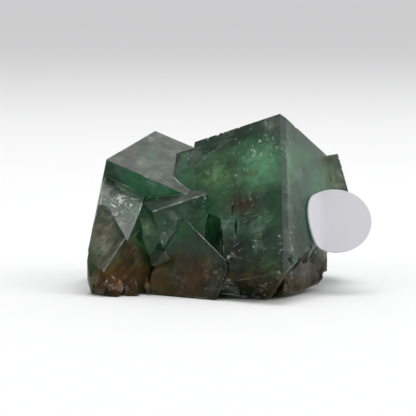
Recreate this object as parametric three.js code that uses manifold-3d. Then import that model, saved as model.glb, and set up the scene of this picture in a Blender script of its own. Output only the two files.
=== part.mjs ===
// A palm-sized cluster of green fluorite: a tall cube and a low cube grown through each other on a
// cleaved, broken foot, with smaller cubes around them, and a blank round paper sticker.
//
// Millimetres, +Z up. Places are measured in the cluster's front view, as right, back and up from
// the middle of the foot's front edge. The front view looks down by VIEW_DROP, and stand() turns
// what was measured there so that the foot lies flat.

import * as THREE from "three";
import { ConvexGeometry } from "three/addons/geometries/ConvexGeometry.js";
import { LoftGeometry } from "three/addons/geometries/LoftGeometry.js";
import { MeshSurfaceSampler } from "three/addons/math/MeshSurfaceSampler.js";
import { mergeVertices } from "three/addons/utils/BufferGeometryUtils.js";
import Module from "manifold-3d";

const wasm = await Module();
wasm.setup();

// Driving dimensions

const VIEW_DROP = 6; // degrees that the front view looks down
const FOOT_HEIGHT = 1.0; // where the flat foot cuts the standing cluster
const FAR = 80; // past every side of the cluster

// A crystal is a corner, an attitude in degrees and its edge lengths. It is turned about its own
// upright edge, then leaned (towards the front is positive), then rolled to the right.
const TALL_CUBE = { corner: [11.4, 0, 28.75], turn: -31.9, lean: -30.3, roll: 0, size: [19.4, 16.7, 34] };
const LOW_CUBE = { corner: [-16.2, 5.7, 21.6], turn: -22.4, lean: 26.7, roll: 13, size: [17, 16, 17] };
const MIDDLE_CUBE = { corner: [-0.1, -2.2, 16.2], turn: 9.8, lean: 14.8, roll: -15.7, size: [9.1, 8, 9] };
const REAR_CUBE = { corner: [21, 11, 22.7], turn: 24, lean: -12, roll: -15, size: [12, 11, 13] };

// Small cubes that grow out of the back, each around its own middle, with one edge length.
const SMALL_CUBES = [
  { corner: [8.6, 13.4, 20], turn: 20, lean: 12, roll: 38, size: 7.4 },
  { corner: [3.4, 17.4, 14.6], turn: 52, lean: -24, roll: 12, size: 6.2 },
  { corner: [-9.4, 17.2, 9], turn: 34, lean: -16, roll: 22, size: 8.6 },
  { corner: [-3, 18, 4.4], turn: 8, lean: 30, roll: -18, size: 6.4 },
  { corner: [14.6, 17, 9.6], turn: 44, lean: 18, roll: 30, size: 6.8 },
];

// The front view's own axes, for planes that follow no crystal.
const FRONT_VIEW = { corner: [0, 0, 0], turn: 0, lean: 0, roll: 0 };

// The sticker is tacked to the tall cube's right face by a strip, then bends away from it.
const STICKER = {
  start: [7.3, -14.6], // its edge on the face, back and up from the cube's corner
  across: 11.3,
  thick: 0.25,
  gap: 0.2,
  glued: 1.9,
  bend: 1.8, // radius
  lift: 58, // degrees
  sections: 28,
};

// Solids from three.js shapes

/** A closed three.js geometry as a solid. */
function solidOf(geometry) {
  const bare = geometry.index ? geometry.toNonIndexed() : geometry.clone();
  bare.deleteAttribute("normal");
  bare.deleteAttribute("uv");
  const merged = mergeVertices(bare, 1e-5);
  return new wasm.Manifold(
    new wasm.Mesh({
      numProp: 3,
      vertProperties: merged.attributes.position.array,
      triVerts: new Uint32Array(merged.index.array),
    }),
  );
}

/** A solid as a three.js geometry. */
function geometryOf(solid) {
  const mesh = solid.getMesh();
  const geometry = new THREE.BufferGeometry();
  geometry.setAttribute("position", new THREE.BufferAttribute(mesh.vertProperties, 3));
  geometry.setIndex(new THREE.BufferAttribute(mesh.triVerts, 1));
  return geometry;
}

const join = (solids) => solids.reduce((whole, solid) => whole.add(solid));
const cut = (whole, solids) => solids.reduce((left, solid) => left.subtract(solid), whole);
const largest = (solid) => solid.decompose().sort((a, b) => b.volume() - a.volume())[0];

/** The matrix from a crystal's own axes, with its corner as origin, to the front view. */
function frameOf({ corner, turn, lean, roll }) {
  const radians = [lean, roll, turn].map(THREE.MathUtils.degToRad);
  return new THREE.Matrix4()
    .makeRotationFromEuler(new THREE.Euler(...radians, "YXZ"))
    .setPosition(...corner);
}

/** The convex solid around some points of the front view, or along a crystal's own axes. */
function shard(points, crystal) {
  const geometry = new ConvexGeometry(points.map((point) => new THREE.Vector3(...point)));
  return solidOf(crystal ? geometry.applyMatrix4(frameOf(crystal)) : geometry);
}

/** Three points of the front view, and [right, up] places brought onto their plane. */
function facet(three, places) {
  const plane = new THREE.Plane().setFromCoplanarPoints(...three.map((p) => new THREE.Vector3(...p)));
  const { x, y, z } = plane.normal;
  const onPlane = places.map(([right, up]) => [right, -(plane.constant + x * right + z * up) / y, up]);
  return [...three, ...onPlane];
}

/** A block between two corners given along a crystal's own axes. */
function block(crystal, low, high) {
  const size = high.map((value, axis) => value - low[axis]);
  const middle = high.map((value, axis) => (value + low[axis]) / 2);
  const geometry = new THREE.BoxGeometry(...size).translate(...middle);
  return solidOf(geometry.applyMatrix4(frameOf(crystal)));
}

/** All that lies past a plane through a point, square to a direction along a crystal's axes. */
function past(crystal, direction, through) {
  const upright = new THREE.Vector3(0, 0, 1);
  const normal = new THREE.Vector3(...direction).normalize();
  const geometry = new THREE.BoxGeometry(2 * FAR, 2 * FAR, FAR)
    .translate(0, 0, FAR / 2)
    .applyQuaternion(new THREE.Quaternion().setFromUnitVectors(upright, normal))
    .translate(...through);
  return solidOf(geometry.applyMatrix4(frameOf(crystal)));
}

/** A blade between two points of the front view, widest near its tail. */
function blade(tail, tip, width, thick) {
  const from = new THREE.Vector3(...tail);
  const to = new THREE.Vector3(...tip);
  const run = to.clone().sub(from);
  const side = new THREE.Vector3(0, 1, 0).cross(run).setLength(width / 2);
  const face = side.clone().cross(run).setLength(thick / 2);
  const middle = from.clone().lerp(to, 0.4);
  const rim = [side, face].flatMap((arm) => [middle.clone().add(arm), middle.clone().sub(arm)]);
  return solidOf(new ConvexGeometry([from, to, ...rim]));
}

/** A seeded stream of numbers between two limits. */
function stream(seed) {
  let state = seed;
  return (low, high) => {
    state = (Math.imul(state, 1664525) + 1013904223) >>> 0;
    return low + ((high - low) * state) / 2 ** 32;
  };
}

/** An uneven octahedron whose faces follow a crystal's cleavage. */
function flake(crystal, point, radius, draw) {
  const stretch = [draw(0.6, 1.5), draw(0.6, 1.5), draw(0.6, 1.5)];
  const attitude = new THREE.Matrix4().extractRotation(frameOf(crystal));
  const geometry = new THREE.OctahedronGeometry(radius).scale(...stretch).applyMatrix4(attitude);
  return solidOf(geometry.translate(point.x, point.y, point.z));
}

/** Breaks flakes out of the faces in a region of the front view. */
function breakFaces(solid, { crystal, low, high, count, radius, seed }) {
  const draw = stream(seed);
  const region = new THREE.Box3(new THREE.Vector3(...low), new THREE.Vector3(...high));
  const surface = new THREE.Mesh(geometryOf(solid).toNonIndexed());
  const sampler = new MeshSurfaceSampler(surface).setRandomGenerator(() => draw(0, 1)).build();
  const point = new THREE.Vector3();
  const flakes = [];
  while (flakes.length < count) {
    sampler.sample(point);
    if (region.containsPoint(point)) flakes.push(flake(crystal, point, draw(...radius), draw));
  }
  return cut(solid, flakes);
}

/** Nicks along one edge of a crystal. */
function nickEdge(solid, { crystal, from, to, count, radius, seed }) {
  const draw = stream(seed);
  const ends = [from, to].map((end) => new THREE.Vector3(...end).applyMatrix4(frameOf(crystal)));
  const nicks = Array.from({ length: count }, () => {
    const point = ends[0].clone().lerp(ends[1], draw(0, 1));
    return flake(crystal, point, draw(...radius), draw);
  });
  return cut(solid, nicks);
}

// Crystals

function tallCube() {
  const [left, back, down] = TALL_CUBE.size;
  const body = block(TALL_CUBE, [-left, 0, -down], [0, back, 0]);
  const notch = block(TALL_CUBE, [-left - 1, -1, -1.1], [-left + 3.4, back + 1, 1]);
  const edgeFacet = past(TALL_CUBE, [1, -0.12, 0], [0, 1.5, 0]);
  const brokenRight = past(TALL_CUBE, [1, 1, -1], [0, 0, -28.6]);
  const undercut = past(TALL_CUBE, [-0.1, -0.35, -1], [0, 0, -28.2]);
  return cut(body, [notch, edgeFacet, brokenRight, undercut]);
}

/** A wedge-shaped layer over the left part of the tall cube's left face. */
function tallLayer() {
  const [left] = TALL_CUBE.size;
  return shard(
    [
      [-left, -1.2, -8], [-left, -1.2, -20], [-left, 0, -1.2], [-left, 0, -27], [-left, 1, -1.2],
      [-left + 11, 0, -1.6], [-left + 12, 0, -25], [-left + 11, 1, -1.6], [-left + 12, 1, -25],
    ],
    TALL_CUBE,
  );
}

function lowCube() {
  const [right, back, down] = LOW_CUBE.size;
  const body = block(LOW_CUBE, [0, 0, -down], [right, back, 0]);
  const brokenBack = past(LOW_CUBE, [-1, 1, -1], [0, back, -6]);
  return body.subtract(brokenBack);
}

function middleCube() {
  const [left, back, down] = MIDDLE_CUBE.size;
  const body = block(MIDDLE_CUBE, [-left, 0, -down], [0, back, 0]);
  const brokenRight = past(MIDDLE_CUBE, [1, -1, -1], [0, 0, -1.4]);
  return body.subtract(brokenRight);
}

function rearCube() {
  const [left, back, down] = REAR_CUBE.size;
  const body = block(REAR_CUBE, [-left, 0, -down], [0, back, 0]);
  const brokenFoot = past(REAR_CUBE, [1, -1, -1], [0, 0, -8.5]);
  return body.subtract(brokenFoot);
}

/** Growth steps, raised a little over the tall cube's top, the rear cube's right and the low one's back. */
function growthSteps() {
  return join([
    block(TALL_CUBE, [-15.6, 4.6, -1], [-1.8, 16.7, 0.35]),
    block(TALL_CUBE, [-11.2, 8.4, -1], [-3.6, 16.7, 0.7]),
    block(REAR_CUBE, [-2, 2.6, -9], [0.3, 11, -1.8]),
    block(LOW_CUBE, [2.4, 5, -11], [13, 16.4, -2.6]),
  ]);
}

function smallCubes() {
  const cubes = SMALL_CUBES.map((cube) => {
    const half = cube.size / 2;
    return block(cube, [-half, -half, -half], [half, half, half]);
  });
  return join(cubes);
}

// The broken mass under the cubes

function core() {
  return shard([
    [-15, 3, -3], [-9, -1, -3], [1, -8, -3], [8.5, -9.5, -3], [10, -5, -3],
    [10, 4, -3], [8, 12, -3], [2, 16, -3], [-9, 16, -3], [-16, 10, -3],
    [-15, 5, 13], [-8, 1, 13], [0, -1, 11], [8, -6, 9], [13, -3, 7],
    [15.5, 5, 4], [15, 6, 10], [13, 11, 5], [10, 14, 10], [-2, 16, 12], [-12, 16, 12],
  ]);
}

/** The dark hollow between the tall cube and the shard in front of it. */
function crevice() {
  return shard([
    [-0.6, -6, 14], [1.8, -7, 12.8], [2.6, -10, 7], [1.9, -11, 5.4], [-1.5, -8, 9],
    [0.5, 2.5, 12.4], [2, 1.5, 11.4], [2, -2, 6.8], [0.5, -0.5, 8],
  ]);
}

/** Two narrow upright slits in the tall cube's left face. */
function slits() {
  return [
    blade([3.9, -3, 15.2], [3.6, -4.6, 12.4], 0.5, 2.8),
    blade([4.4, -4.6, 12.7], [4.1, -6.4, 9.1], 0.5, 2.8),
  ];
}

/** The broken left end: a bright facet on top, and a smoky and a brown one either side of a ridge. */
function leftShard() {
  const ridgeTop = [-12.2, -1.5, 10.3];
  const ridgeFoot = [-16.1, -4.8, 4.2];
  const brightFacet = facet(
    [[-16.4, 6.9, 19.06], [-9.84, 4.3, 16.1], [-11, 0.3, 12.7]],
    [[-17, 14.5], [-15.6, 14], [-13.4, 13.9]],
  );
  const smokyFacet = facet([[-17, 1.7, 14.5], ridgeTop, ridgeFoot], [[-18.1, 10.5], [-18.7, 5.8]]);
  const brownFacet = facet([ridgeTop, ridgeFoot, [-8.8, -1.5, 2]], [[-9.2, 7.4], [-15, -1], [-8.9, -1]]);
  const foot = [[-18.75, -1.5, 2.66], [-17.9, -3, 0], [-10, 6, -1]];
  const rear = [[-17, 9, 18], [-18.2, 8, 3], [-10, 8, 15.5]];
  return shard([...brightFacet, ...smokyFacet, ...brownFacet, ...foot, ...rear]);
}

/** The brown shard at the front, under its bright slanting edge. */
function frontShard() {
  const top = [-3.67, -2.6, 12.34];
  const edgeEnd = [1.9, -7.5, 6.7];
  const face = facet(
    [top, edgeEnd, [-7.5, -2.4, 6]],
    [[2.7, 6], [2.97, 4.69], [1.6, 0.8], [0.6, -1], [-7.6, -1], [-9.2, 1], [-8.8, 3.6], [-5.2, 9.3]],
  );
  const rear = [[1.5, -3, 5.5], [-2, 1, 9], [1, -3, -1], [-7, 0, -1], [-6, 1, 6]];
  return shard([...face, ...rear]);
}

/** Small shards in the hollow between the left shard, the front one and the middle cube. */
function smallShards() {
  return join([
    shard([
      [-10.6, 0.6, 12.2], [-8.4, 0.3, 12.5], [-9.9, -2.3, 9], [-7.3, -2.7, 9.2],
      [-10, 2, 8], [-7, 1, 8], [-9, -1.6, 6],
    ]),
    shard([
      [-9.2, -1.2, 7.6], [-6.6, -3.4, 7.2], [-5.6, -4.4, 6], [-8.6, -3.4, 5], [-9, 1, 5], [-6, 0, 4],
    ]),
    shard([
      [-15.4, -5, 2.2], [-13.6, -5.6, 1.2], [-14.4, -6.2, -1], [-16, -4.8, -1], [-13, -4.4, -1],
      [-14, -3, 2.6],
    ]),
    shard([
      [-12.8, -4.4, 1.8], [-11, -4.4, 2.4], [-10.6, -5.6, -1], [-13.2, -5.4, -1], [-11.5, -2, 3],
      [-10, -2, -1],
    ]),
  ]);
}

function rightShard() {
  return shard([
    [12, -9, 4.2], [14.8, -4, 8.2], [17.4, -0.5, 9], [18.9, 3, 7.8], [18.6, 3.2, 4.4],
    [17.2, 1, 2], [15, -1.5, 2.6], [12.6, -5.5, 1.6], [11, -9, 0], [12, 6, 9], [14, 8, 2], [9, 0, 0],
  ]);
}

/** Thin blades of cleavage along the right shard and the left corner of the foot. */
function blades() {
  return join([
    blade([14.2, -5.5, 5], [16.2, -3.6, 8.7], 0.8, 0.5),
    blade([15.6, -3.4, 5.4], [17.6, -1.2, 9], 1, 0.6),
    blade([12.6, -8.6, 4], [15.2, -5.2, 7.2], 0.7, 0.5),
    blade([17.4, 1.5, 2], [18.8, 1.6, 6.8], 1.6, 1.2),
    blade([15.8, 0, 3.6], [17, -0.6, 1.8], 1.4, 0.9),
    blade([13.4, -4.2, 3.4], [14.2, -4.6, 1.3], 1.2, 0.8),
    blade([-16.6, -3.2, 4.4], [-18.2, -4.2, 0.6], 1.5, 1),
    blade([-15.6, -3.9, 3.6], [-16.4, -5.6, 0], 1.2, 0.9),
    blade([-9.6, -1.4, 3.6], [-9.1, -4.6, -0.3], 1.3, 1),
    blade([-11.7, -2, 3.2], [-11.9, -4.9, -0.4], 1.6, 1.1),
    blade([-13.6, -3, 3.4], [-13.8, -5.8, -0.2], 1.5, 1),
  ]);
}

const BROKEN_FACES = [
  { crystal: LOW_CUBE, low: [-20, -9, -1], high: [-8, 1, 3], count: 10, radius: [0.3, 0.8], seed: 11 },
  { crystal: TALL_CUBE, low: [11, -12, -1], high: [20, 6, 7], count: 18, radius: [0.4, 1.1], seed: 41 },
  { crystal: LOW_CUBE, low: [-20, 8, -1], high: [20, 30, 5], count: 16, radius: [1, 3], seed: 53 },
];

const NICKED_EDGES = [
  { crystal: TALL_CUBE, from: [0, 0, -1], to: [0, 0, -27], count: 4, radius: [0.15, 0.35], seed: 5 },
  { crystal: TALL_CUBE, from: [-15, 0, 0], to: [-1, 0, 0], count: 4, radius: [0.15, 0.35], seed: 6 },
  { crystal: TALL_CUBE, from: [0, 1, 0], to: [0, 16, 0], count: 3, radius: [0.15, 0.4], seed: 7 },
  { crystal: LOW_CUBE, from: [1, 0, 0], to: [13, 0, 0], count: 3, radius: [0.12, 0.3], seed: 8 },
  { crystal: LOW_CUBE, from: [0, 1, 0], to: [0, 15, 0], count: 4, radius: [0.15, 0.4], seed: 9 },
  { crystal: REAR_CUBE, from: [0, 0, 0], to: [0, 0, -8], count: 3, radius: [0.15, 0.4], seed: 10 },
];

/** Turns what was measured in the front view upright. */
function stand(geometry) {
  return geometry.rotateX(THREE.MathUtils.degToRad(-VIEW_DROP));
}

function cluster() {
  const cubes = [tallCube(), tallLayer(), lowCube(), rearCube(), growthSteps(), smallCubes()];
  const mass = cut(join([...cubes, core()]), [crevice(), ...slits()]);
  const shards = [leftShard(), frontShard(), rightShard(), smallShards(), blades()];
  const undercut = past(FRONT_VIEW, [0.42, -0.3, -0.85], [9.2, -9, 0.2]);
  const grown = join([mass, middleCube(), ...shards]).subtract(undercut);
  const broken = NICKED_EDGES.reduce(nickEdge, BROKEN_FACES.reduce(breakFaces, grown));
  const ground = new THREE.BoxGeometry(2 * FAR, 2 * FAR, FAR).translate(0, 0, FOOT_HEIGHT - FAR / 2);
  return geometryOf(largest(solidOf(stand(geometryOf(broken))).subtract(solidOf(ground))));
}

function sticker() {
  const { start, across, thick, gap, glued, bend, lift, sections } = STICKER;
  const rings = Array.from({ length: sections + 1 }, (_, index) => {
    const arc = (across * (1 - Math.cos((Math.PI * index) / sections))) / 2;
    const half = Math.max(Math.sqrt(arc * (across - arc)), 0.1);
    const turned = THREE.MathUtils.clamp((arc - glued) / bend, 0, THREE.MathUtils.degToRad(lift));
    const free = Math.max(arc - glued - bend * turned, 0);
    const back = start[0] + Math.min(arc, glued) + bend * Math.sin(turned) + free * Math.cos(turned);
    const out = gap + bend * (1 - Math.cos(turned)) + free * Math.sin(turned);
    const corners = [[0, -half], [0, half], [thick, half], [thick, -half]];
    return corners.map(
      ([depth, up]) =>
        new THREE.Vector3(out + depth * Math.cos(turned), back - depth * Math.sin(turned), start[1] + up),
    );
  });
  const geometry = new LoftGeometry(rings, { capStart: true, capEnd: true });
  return stand(geometryOf(solidOf(geometry.applyMatrix4(frameOf(TALL_CUBE)))));
}

// Scene graph

const fluorite = new THREE.MeshStandardMaterial({
  name: "green_fluorite",
  color: 0x2f6b4c,
  roughness: 0.25,
  metalness: 0,
});

const paper = new THREE.MeshStandardMaterial({
  name: "white_paper",
  color: 0xe6e5ea,
  roughness: 0.85,
  metalness: 0,
});

const crystals = new THREE.Mesh(cluster(), fluorite);
crystals.name = "crystal_cluster";

const label = new THREE.Mesh(sticker(), paper);
label.name = "paper_sticker";

const part = new THREE.Group();
part.add(crystals, label);

const bounds = new THREE.Box3().setFromObject(part);
const middle = bounds.getCenter(new THREE.Vector3());
part.children.forEach((mesh) => mesh.position.set(-middle.x, -middle.y, -bounds.min.z));

export default part;
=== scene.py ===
"""Looks of a green fluorite cluster: see-through cubes on a broken foot, with a blank paper sticker."""

import logging
import math
from dataclasses import dataclass
from enum import Enum
from typing import Any

import bmesh
import bpy
from mathutils import Euler, Matrix, Vector, geometry


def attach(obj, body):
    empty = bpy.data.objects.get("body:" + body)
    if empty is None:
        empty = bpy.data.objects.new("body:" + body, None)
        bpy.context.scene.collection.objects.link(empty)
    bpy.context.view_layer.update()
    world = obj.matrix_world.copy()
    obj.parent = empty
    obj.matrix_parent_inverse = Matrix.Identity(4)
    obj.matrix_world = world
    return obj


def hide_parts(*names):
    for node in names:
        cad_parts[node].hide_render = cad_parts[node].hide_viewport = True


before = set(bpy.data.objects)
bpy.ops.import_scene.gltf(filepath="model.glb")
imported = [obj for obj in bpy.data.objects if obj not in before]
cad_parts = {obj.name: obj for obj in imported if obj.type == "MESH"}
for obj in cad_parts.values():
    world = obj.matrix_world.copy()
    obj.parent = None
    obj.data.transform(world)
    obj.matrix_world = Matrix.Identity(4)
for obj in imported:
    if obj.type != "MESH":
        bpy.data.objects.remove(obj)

LOG = logging.getLogger("fluorite_cluster")
MM = 0.001
VIEW_DROP = math.radians(6)

# The middle level of cloud and cell patterns, which run from 0 to 1
MIDDLE_LEVEL = 0.5

# The Mix node's sockets for colours
FIRST_COLOUR = 6
SECOND_COLOUR = 7
MIXED_COLOUR = 2

Span = tuple[float, float]
Triple = tuple[float, float, float]
Patch = tuple[Triple, Triple]
Run = tuple[Triple, float]


class Mark(Enum):
    """What is kept on the mesh's faces as numbers, by layer name."""

    GROWN = "grown"
    EDGE = "edge"
    LOW_TOP = "low_top"
    LOW_FRONT = "low_front"
    RIGHT_SIDE = "right_side"
    CORNER_BAND = "corner_band"
    MIDDLE_TOP = "middle_top"
    MIDDLE_FRONT = "middle_front"
    SILVER_FACET = "silver_facet"
    SMOKY_FACET = "smoky_facet"
    BROWN_FACET = "brown_facet"
    FRONT_FACET = "front_facet"


class EdgeWearAndHighlight(Enum):
    """The rounds in which edges are bevelled: wear, width in metres and least angle in radians; the first
    round's mark also gets a painted highlight.
    """

    PAINTED_HIGHLIGHT = (2.0, 0.14 * MM, 0.0)
    WORN = (1.0, 0.09 * MM, math.radians(45))
    FINE = (0.35, 0.07 * MM, math.radians(14))

    @property
    def wear(self) -> float:
        """How white the bevel is."""
        return self.value[0]

    @property
    def width(self) -> float:
        """The bevel's width."""
        return self.value[1]

    @property
    def angle(self) -> float:
        """The least angle between the faces that it parts."""
        return self.value[2]


class Value:
    """One output of a shader node, which takes part in Python arithmetic."""

    def __init__(self, graph: "Graph", socket: bpy.types.NodeSocket) -> None:
        """Keeps the socket and the graph that adds nodes behind it."""
        self.graph = graph
        self.socket = socket

    def _maths(self, operation: str, first: Any, second: Any) -> "Value":
        """Adds one Math node on two values or numbers."""
        return self.graph.node("ShaderNodeMath", {"operation": operation}, {0: first, 1: second})

    def other(self, output: str) -> "Value":
        """Another output of the same node."""
        return Value(self.graph, self.socket.node.outputs[output])

    def __add__(self, other: Any) -> "Value":
        """Adds a value or a number."""
        return self._maths("ADD", self, other)

    def __radd__(self, other: Any) -> "Value":
        """Adds to a number."""
        return self._maths("ADD", other, self)

    def __sub__(self, other: Any) -> "Value":
        """Takes a value or a number away."""
        return self._maths("SUBTRACT", self, other)

    def __rsub__(self, other: Any) -> "Value":
        """Is taken from a number."""
        return self._maths("SUBTRACT", other, self)

    def __mul__(self, other: Any) -> "Value":
        """Multiplies by a value or a number."""
        return self._maths("MULTIPLY", self, other)

    def __rmul__(self, other: Any) -> "Value":
        """Multiplies a number."""
        return self._maths("MULTIPLY", other, self)

    def __abs__(self) -> "Value":
        """Drops the sign."""
        return self._maths("ABSOLUTE", self, 0.0)


class Graph:
    """A node tree that is filled by method calls."""

    def __init__(self, tree: bpy.types.NodeTree) -> None:
        """Empties the tree."""
        self.tree = tree
        self.tree.nodes.clear()

    def node(
        self, kind: str, settings: dict | None = None, inputs: dict | None = None, output: Any = 0
    ) -> Value | None:
        """Adds any node.

        Args:
            kind: The node's type.
            settings: Its properties, set before its sockets.
            inputs: Values, links or numbers by socket name or index.
            output: The name or index of the output that is wanted.

        Returns:
            That output's value, or nothing for a node without outputs.
        """
        made = self.tree.nodes.new(kind)
        for name, setting in (settings or {}).items():
            setattr(made, name, setting)
        for name, given in (inputs or {}).items():
            socket = made.inputs[name]
            if isinstance(given, Value):
                self.tree.links.new(given.socket, socket)
            elif socket.type == "RGBA":
                socket.default_value = (*given, 1.0)
            else:
                socket.default_value = given
        return Value(self, made.outputs[output]) if len(made.outputs) else None

    def vector(self, operation: str, first: Any, second: Any, output: str = "Vector") -> Value:
        """Adds one Vector Math node, for a vector or, by its output, a number."""
        return self.node("ShaderNodeVectorMath", {"operation": operation}, {0: first, 1: second}, output)

    def mark(self, mark: Mark) -> Value:
        """A number kept on the mesh's faces."""
        return self.node("ShaderNodeAttribute", {"attribute_name": mark.value}, output="Fac")

    def ramp(self, value: Value, low: float, high: float, start: float = 0.0, end: float = 1.0) -> Value:
        """A smooth step from start, where the value is low, to end, where it is high."""
        inputs = {"Value": value, "From Min": low, "From Max": high, "To Min": start, "To Max": end}
        return self.node("ShaderNodeMapRange", {"interpolation_type": "SMOOTHSTEP"}, inputs)

    def blend(self, factor: Any, first: Any, second: Any) -> Value:
        """Mixes two colours by the second one's share."""
        inputs = {0: factor, FIRST_COLOUR: first, SECOND_COLOUR: second}
        return self.node("ShaderNodeMix", {"data_type": "RGBA"}, inputs, MIXED_COLOUR)

    def noise(self, place: Value, scale: float, detail: float = 3.0, output: str = "Fac") -> Value:
        """A cloud pattern over millimetres, as a number or, by its output, a colour."""
        inputs = {"Vector": place, "Scale": scale, "Detail": detail}
        return self.node("ShaderNodeTexNoise", {}, inputs, output)

    def shade(self, colour: Any, value: Value) -> Value:
        """Darkens or lightens a colour.

        Args:
            colour: A colour or a value that holds one.
            value: What it is multiplied by.

        Returns:
            The changed colour.
        """
        settings = {"data_type": "RGBA", "blend_type": "MULTIPLY"}
        inputs = {0: 1.0, FIRST_COLOUR: colour, SECOND_COLOUR: value}
        return self.node("ShaderNodeMix", settings, inputs, MIXED_COLOUR)

    def parts(self, place: Value) -> tuple[Value, Value, Value]:
        """The three coordinates of a place."""
        first = self.node("ShaderNodeSeparateXYZ", {}, {0: place})
        return first, first.other("Y"), first.other("Z")

    def stretched(self, place: Value, reach: Triple, lean: float) -> Value:
        """Coordinates that draw a pattern out along axes which lean to the right by some degrees."""
        inputs = {"Vector": place, "Scale": reach, "Rotation": (0.0, math.radians(lean), 0.0)}
        return self.node("ShaderNodeMapping", {"vector_type": "TEXTURE"}, inputs)

    def near(self, value: Value, width: float) -> Value:
        """1 where a value is nearly 0, fading out at a width."""
        return self.ramp(abs(value), width / 2, width, 1.0, 0.0)

    def placed(self, matrix: Matrix) -> Value:
        """Coordinates of the piece, seen from another frame.

        Args:
            matrix: From the row frame in metres to that frame.

        Returns:
            The coordinates there.
        """
        own = self.node("ShaderNodeTexCoord", output="Object")
        inputs = {"Vector": own, "Location": matrix.translation, "Scale": matrix.to_scale()}
        return self.node("ShaderNodeMapping", {}, {**inputs, "Rotation": matrix.to_euler("XYZ")})

    def bulb(self, place: Value, centre: Triple, radii: Triple) -> Value:
        """A soft round patch, 1 at its centre and 0 past its radii.

        Args:
            place: The coordinates.
            centre: Its middle.
            radii: How far it reaches along each axis.

        Returns:
            The patch's value.
        """
        inputs = {"Vector": place, "Location": centre, "Scale": radii}
        inside = self.node("ShaderNodeMapping", {"vector_type": "TEXTURE"}, inputs)
        reach = self.node("ShaderNodeVectorMath", {"operation": "LENGTH"}, {0: inside}, "Value")
        return self.ramp(reach, 0.0, 1.0, 1.0, 0.0)

    def bulbs(self, place: Value, patches: tuple[Patch, ...]) -> Value:
        """Several soft round patches together.

        Args:
            place: The coordinates.
            patches: Each one's middle and how far it reaches along each axis.

        Returns:
            The strongest patch's value.
        """
        first, *rest = [self.bulb(place, centre, radii) for centre, radii in patches]
        for other in rest:
            first = self.node("ShaderNodeMath", {"operation": "MAXIMUM"}, {0: first, 1: other})
        return first

    def bumped(self, height: Value, strength: float, distance: float) -> Value:
        """A normal that is tilted by a height."""
        inputs = {"Height": height, "Strength": strength, "Distance": distance}
        return self.node("ShaderNodeBump", {}, inputs, "Normal")

    def principled(self, colour: Any, rough: Any, others: dict | None = None) -> Value:
        """Adds a Principled shader, with its other sockets by name."""
        inputs = {"Base Color": colour, "Roughness": rough, **(others or {})}
        return self.node("ShaderNodeBsdfPrincipled", {}, inputs)


def empty_material(name: str) -> tuple[bpy.types.Material, Graph]:
    """Makes a material with nothing in its node tree.

    Args:
        name: The material's name.

    Returns:
        The material and its tree.
    """
    made = bpy.data.materials.new(name)
    made.use_nodes = True
    return made, Graph(made.node_tree)


@dataclass(frozen=True)
class Crystal:
    """One cube of the cluster, in its front view: right, back and up in millimetres, and degrees."""

    corner: Triple
    turn: float
    lean: float
    roll: float

    def frame(self) -> Matrix:
        """Works out the cube's attitude.

        Returns:
            From the cube's own axes to the front view, in millimetres.
        """
        rolled = Matrix.Rotation(math.radians(self.roll), 4, "Y")
        leaned = Matrix.Rotation(math.radians(self.lean), 4, "X")
        turned = Matrix.Rotation(math.radians(self.turn), 4, "Z")
        return Matrix.Translation(self.corner) @ rolled @ leaned @ turned


TALL_CUBE = Crystal((11.4, 0.0, 28.75), -31.9, -30.3, 0.0)
LOW_CUBE = Crystal((-16.2, 5.7, 21.6), -22.4, 26.7, 13.0)
MIDDLE_CUBE = Crystal((-0.1, -2.2, 16.2), 9.8, 14.8, -15.7)
REAR_CUBE = Crystal((21.0, 11.0, 22.7), 24.0, -12.0, -15.0)
SMALL_CUBES = (
    Crystal((8.6, 13.4, 20.0), 20.0, 12.0, 38.0),
    Crystal((3.4, 17.4, 14.6), 52.0, -24.0, 12.0),
    Crystal((-9.4, 17.2, 9.0), 34.0, -16.0, 22.0),
    Crystal((-3.0, 18.0, 4.4), 8.0, 30.0, -18.0),
    Crystal((14.6, 17.0, 9.6), 44.0, 18.0, 30.0),
)
CRYSTALS = (TALL_CUBE, LOW_CUBE, MIDDLE_CUBE, REAR_CUBE, *SMALL_CUBES)

# The cluster's highest corner, along the tall cube's own axes
TOP_CORNER = (-0.18, 0.0, 0.0)


@dataclass(frozen=True)
class NamedFace:
    """A plane face of the cluster that has a look of its own, in front-view millimetres."""

    mark: Mark
    through: Vector
    way: Vector
    slack: float = 0.3
    least_cosine: float = 0.9995

    @classmethod
    def of_cube(cls, mark: Mark, crystal: Crystal, way: Triple) -> "NamedFace":
        """The face at a cube's corner that looks a given way along the cube's axes."""
        return cls(mark, Vector(crystal.corner), (crystal.frame().to_3x3() @ Vector(way)).normalized())

    @classmethod
    def of_points(cls, mark: Mark, *corners: Triple) -> "NamedFace":
        """The face through three points, which run anticlockwise as seen from outside."""
        places = [Vector(corner) for corner in corners]
        return cls(mark, places[0], geometry.normal(places))

    def holds(self, middle: Vector, normal: Vector) -> bool:
        """Tells whether a face of the mesh lies in this one's plane and looks the same way."""
        in_plane = abs((middle - self.through).dot(self.way)) < self.slack
        return in_plane and normal.dot(self.way) > self.least_cosine


# Corners of the broken facets and ends of the edges with painted highlights
RIDGE_TOP = (-12.2, -1.5, 10.3)
RIDGE_FOOT = (-16.1, -4.8, 4.2)
SILVER_LEFT = (-16.4, 6.9, 19.06)
SILVER_RIGHT = (-9.84, 4.3, 16.1)
SILVER_TIP = (-11.0, 0.3, 12.7)
SMOKY_TOP = (-17.0, 1.7, 14.5)
BROWN_FOOT = (-8.8, -1.5, 2.0)
FRONT_TOP = (-3.67, -2.6, 12.34)
FRONT_LEFT = (-7.5, -2.4, 6.0)
FRONT_RIGHT = (1.9, -7.5, 6.7)
FRONT_EDGE_END = (2.7, -8.17, 6.0)
MIDDLE_TOP_LEFT = (-8.6, -3.7, 13.4)

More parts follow.
